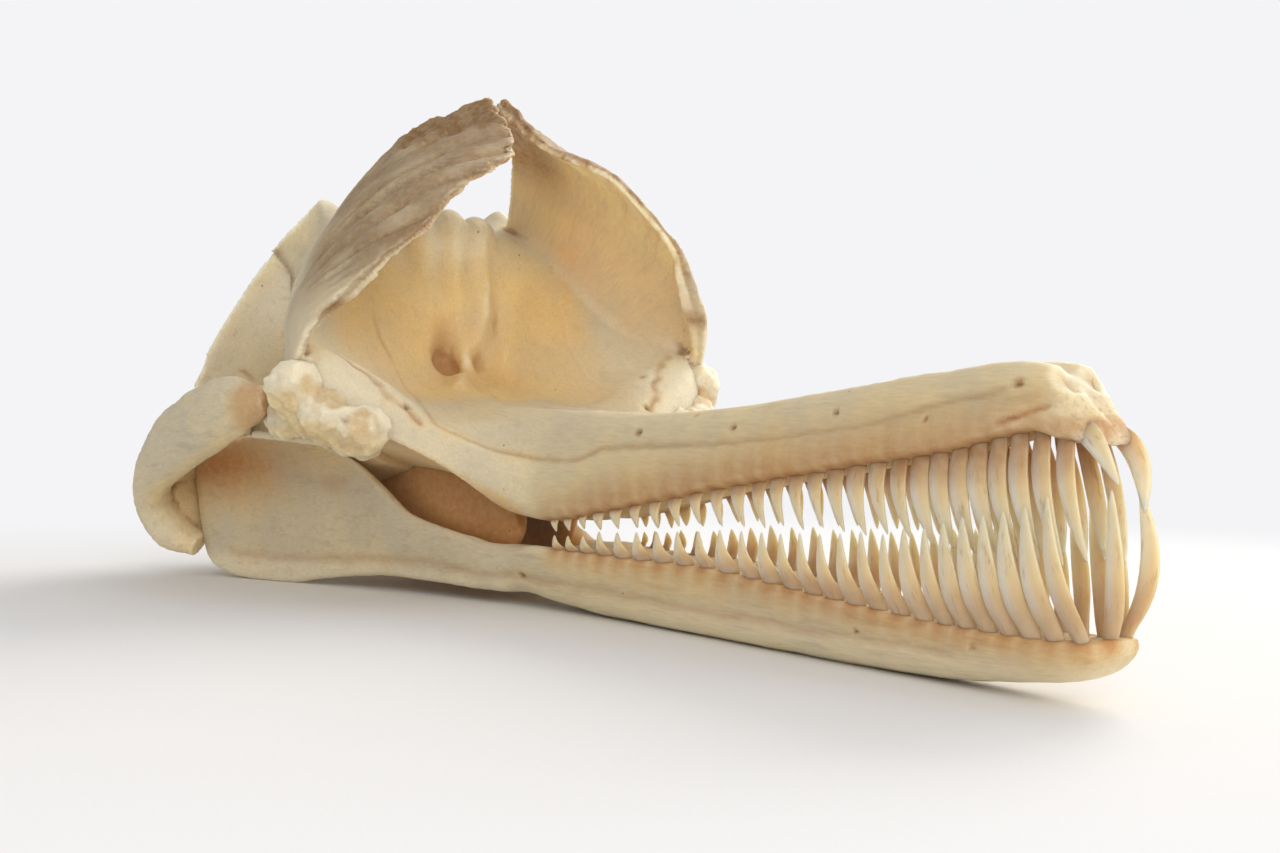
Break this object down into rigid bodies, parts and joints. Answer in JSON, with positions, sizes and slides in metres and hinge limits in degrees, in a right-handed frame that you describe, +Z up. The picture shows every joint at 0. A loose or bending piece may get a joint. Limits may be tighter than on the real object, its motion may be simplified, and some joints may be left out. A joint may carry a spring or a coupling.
{
  "type": "river dolphin skull",
  "caption": "Skull of a South Asian river dolphin with its jaw: a long thin snout with interlocking needle teeth, curved bony crests over the brow and wide cheek arches.",
  "frame": {"origin": "middle of the underside of the whole skull's box, on the surface that it rests on", "axes": "+X along the skull from the back of the head to the tip of the snout, +Y to the animal's left, +Z up"},
  "size_m": [0.384, 0.164, 0.1485],
  "materials": {
    "bone": "matte dry bone, cream with brown stains",
    "shaded_bone": "matte porous bone, beige, thin and a little translucent"
  },
  "bodies": {
    "root": {"braincase": "bone", "occipital_condyles": "bone", "rostrum": "bone", "crest_right": "shaded_bone", "crest_left": "shaded_bone", "brow_right": "bone", "brow_left": "bone", "arch_right": "bone", "arch_left": "bone", "cheek_bar_right": "bone", "cheek_bar_left": "bone", "palate_wing_right": "bone", "palate_wing_left": "bone", "jaw_front": "bone", "jaw_branch_right": "bone", "jaw_branch_left": "bone"}
  },
  "joints": []
}
